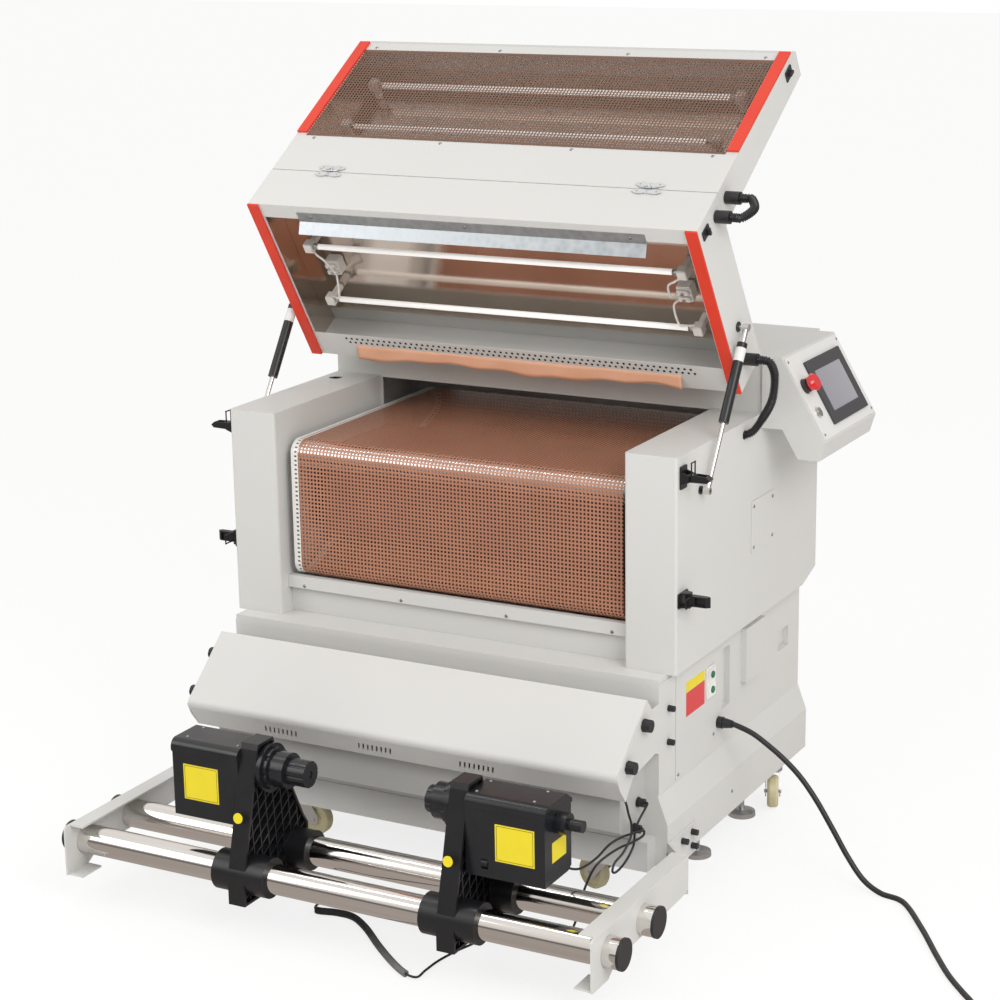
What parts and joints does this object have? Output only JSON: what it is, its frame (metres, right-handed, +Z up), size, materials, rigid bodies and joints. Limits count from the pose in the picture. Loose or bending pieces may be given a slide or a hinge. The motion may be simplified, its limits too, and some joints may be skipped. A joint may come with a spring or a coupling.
{
  "type": "dtf powder shaker dryer",
  "caption": "Floor-standing film powder fixing oven: hinged lid with fold-over door and quartz lamps, mesh belt, cooling cover, side control box and roll take-up with sliding arms.",
  "frame": {"origin": "floor level, under the middle of the footprint without the mains lead", "axes": "+X to the right seen from the front, +Y towards the back, +Z up"},
  "size_m": [2.1788, 1.346, 1.7294],
  "materials": {
    "shell": "satin, warm light grey, fine texture",
    "inner": "satin grey",
    "black": "moulded black, fine grain",
    "black_metal": "black satin coat",
    "steel": "bright plated steel",
    "zinc": "zinc plated steel",
    "seal": "red silicone",
    "mesh": "brown coated glass mesh",
    "flap": "peach silicone skin",
    "lamp": "white quartz and ceramic",
    "wheel": "cream nylon",
    "stop": "glossy red",
    "screen": "grey bezel with a glossy screen",
    "cord": "black sheath"
  },
  "bodies": {
    "machine": {"base_cabinet": "shell", "left_cheek": "shell", "right_cheek": "shell", "rear_housing": "shell", "front_panel": "shell", "mesh_belt": "mesh", "fan_box": "inner", "cooling_cover": "shell", "thumb_screws": "black", "control_box": "shell", "control_face": "shell", "touch_panel": "screen", "side_plates": "shell", "cable_glands": "black", "winder_plates": "shell", "winder_tubes": "steel", "levelling_feet": "zinc", "side_fittings": "black", "mains_cord": "cord", "mains_coil": "cord", "mains_plug": "cord", "winder_leads": "cord"},
    "belt_roller": {"belt_roller": "steel"},
    "stop_button": {"stop_button": "stop"},
    "key_switch": {"key_switch": "steel"},
    "lid": {"lid_shell": "shell", "lid_lamps": "lamp", "lid_seals": "seal", "lid_hardware": "zinc", "lid_flap": "flap", "lid_conduit": "black"},
    "door": {"door_shell": "shell", "door_guard": "mesh", "door_lamps": "lamp", "door_seals": "seal", "door_hardware": "zinc", "door_conduit": "black"},
    "left_unit": {"left_arm": "black_metal", "left_housing": "black"},
    "left_chuck": {"left_chuck": "black"},
    "right_unit": {"right_arm": "black_metal", "right_housing": "black"},
    "right_chuck": {"right_chuck": "black"},
    "rocker_switch": {"rocker_switch": "black"},
    "caster_fork_fl": {"caster_fork_fl": "zinc"},
    "caster_wheel_fl": {"caster_wheel_fl": "wheel"},
    "caster_fork_fr": {"caster_fork_fr": "zinc"},
    "caster_wheel_fr": {"caster_wheel_fr": "wheel"},
    "caster_fork_rl": {"caster_fork_rl": "zinc"},
    "caster_wheel_rl": {"caster_wheel_rl": "wheel"},
    "caster_fork_rr": {"caster_fork_rr": "zinc"},
    "caster_wheel_rr": {"caster_wheel_rr": "wheel"},
    "latch_lever_ul": {"latch_lever_ul": "black"},
    "latch_lever_ur": {"latch_lever_ur": "black"},
    "latch_lever_ll": {"latch_lever_ll": "black"},
    "latch_lever_lr": {"latch_lever_lr": "black"},
    "strut_rod_left": {"strut_rod_left": "steel"},
    "strut_tube_left": {"strut_tube_left": "black_metal"},
    "strut_rod_right": {"strut_rod_right": "steel"},
    "strut_tube_right": {"strut_tube_right": "black_metal"}
  },
  "joints": [
    {"name": "lid_hinge", "type": "hinge", "parent": "machine", "child": "lid", "pos_m": [-0.0155, 0.333, 1.102], "axis": [1, 0, 0], "range_deg": [0, 57.5], "deforming": ["lid_conduit"]},
    {"name": "door_hinge", "type": "hinge", "parent": "lid", "child": "door", "pos_m": [-0.0155, 0.08524, 1.4789], "axis": [1, 0, 0], "range_deg": [0, 180], "deforming": ["door_conduit"]},
    {"name": "strut_pivot_left", "type": "hinge", "parent": "machine", "child": "strut_rod_left", "pos_m": [-0.5715, 0.001, 0.877], "axis": [1, 0, 0], "range_deg": [-18.5, 0.5]},
    {"name": "strut_slide_left", "type": "slide", "parent": "strut_rod_left", "child": "strut_tube_left", "axis": [0, 0.5445, 0.8388], "range_m": [-0.118, 0.001]},
    {"name": "strut_pivot_right", "type": "hinge", "parent": "machine", "child": "strut_rod_right", "pos_m": [0.5405, 0.001, 0.877], "axis": [1, 0, 0], "range_deg": [-18.5, 0.5]},
    {"name": "strut_slide_right", "type": "slide", "parent": "strut_rod_right", "child": "strut_tube_right", "axis": [0, 0.5445, 0.8388], "range_m": [-0.118, 0.001]},
    {"name": "latch_ul", "type": "hinge", "parent": "machine", "child": "latch_lever_ul", "pos_m": [-0.5708, -0.087, 0.925], "axis": [0, -1, 0], "range_deg": [-15, 86]},
    {"name": "latch_ur", "type": "hinge", "parent": "machine", "child": "latch_lever_ur", "pos_m": [0.5398, -0.087, 0.925], "axis": [0, 1, 0], "range_deg": [-15, 86]},
    {"name": "latch_ll", "type": "hinge", "parent": "machine", "child": "latch_lever_ll", "pos_m": [-0.5708, -0.087, 0.668], "axis": [0, 0, -1], "range_deg": [-15, 86]},
    {"name": "latch_lr", "type": "hinge", "parent": "machine", "child": "latch_lever_lr", "pos_m": [0.5398, -0.087, 0.668], "axis": [0, 0, 1], "range_deg": [-15, 86]},
    {"name": "caster_swivel_fl", "type": "hinge", "parent": "machine", "child": "caster_fork_fl", "pos_m": [-0.3935, -0.12, 0.09], "axis": [0, 0, 1], "continuous": true},
    {"name": "caster_axle_fl", "type": "hinge", "parent": "caster_fork_fl", "child": "caster_wheel_fl", "pos_m": [-0.3615, -0.12, 0.0405], "axis": [0, 1, 0], "continuous": true},
    {"name": "caster_swivel_fr", "type": "hinge", "parent": "machine", "child": "caster_fork_fr", "pos_m": [0.3625, -0.12, 0.09], "axis": [0, 0, 1], "continuous": true},
    {"name": "caster_axle_fr", "type": "hinge", "parent": "caster_fork_fr", "child": "caster_wheel_fr", "pos_m": [0.33243, -0.10906, 0.0405], "axis": [-0.342, -0.9397, 0], "continuous": true},
    {"name": "caster_swivel_rl", "type": "hinge", "parent": "machine", "child": "caster_fork_rl", "pos_m": [-0.5235, 0.507, 0.09], "axis": [0, 0, 1], "continuous": true},
    {"name": "caster_axle_rl", "type": "hinge", "parent": "caster_fork_rl", "child": "caster_wheel_rl", "pos_m": [-0.55121, 0.491, 0.0405], "axis": [0.5, -0.866, 0], "continuous": true},
    {"name": "caster_swivel_rr", "type": "hinge", "parent": "machine", "child": "caster_fork_rr", "pos_m": [0.4925, 0.507, 0.09], "axis": [0, 0, 1], "continuous": true},
    {"name": "caster_axle_rr", "type": "hinge", "parent": "caster_fork_rr", "child": "caster_wheel_rr", "pos_m": [0.50449, 0.47733, 0.0405], "axis": [0.9272, 0.3746, 0], "continuous": true},
    {"name": "belt_roller_spin", "type": "hinge", "parent": "machine", "child": "belt_roller", "pos_m": [-0.0155, -0.0507, 0.8727], "axis": [1, 0, 0], "continuous": true},
    {"name": "left_arm_slide", "type": "slide", "parent": "machine", "child": "left_unit", "axis": [1, 0, 0], "range_m": [-0.3, 0.12]},
    {"name": "right_arm_slide", "type": "slide", "parent": "machine", "child": "right_unit", "axis": [1, 0, 0], "range_m": [-0.12, 0.12], "deforming": ["winder_leads"]},
    {"name": "left_chuck_spin", "type": "hinge", "parent": "left_unit", "child": "left_chuck", "pos_m": [-0.1975, -0.54, 0.339], "axis": [1, 0, 0], "continuous": true},
    {"name": "right_chuck_spin", "type": "hinge", "parent": "right_unit", "child": "right_chuck", "pos_m": [0.2525, -0.54, 0.339], "axis": [1, 0, 0], "continuous": true},
    {"name": "rocker_tilt", "type": "hinge", "parent": "right_unit", "child": "rocker_switch", "pos_m": [0.3345, -0.589, 0.248], "axis": [1, 0, 0], "range_deg": [-12, 12]},
    {"name": "stop_press", "type": "slide", "parent": "machine", "child": "stop_button", "axis": [-0.8655, 0, -0.5008], "range_m": [0, 0.005], "stiffness_N_per_m": 1500, "springref_m": -0.003},
    {"name": "key_turn", "type": "hinge", "parent": "machine", "child": "key_switch", "pos_m": [0.63912, 0.365, 0.97396], "axis": [0.8655, 0, 0.5008], "range_deg": [0, 90]}
  ],
  "couplings": [
    {"joint": "strut_pivot_left", "follows": "lid_hinge", "ratio": -0.31614},
    {"joint": "strut_slide_left", "follows": "lid_hinge", "m_per_rad": -0.11607},
    {"joint": "strut_pivot_right", "follows": "lid_hinge", "ratio": -0.31614},
    {"joint": "strut_slide_right", "follows": "lid_hinge", "m_per_rad": -0.11607}
  ]
}
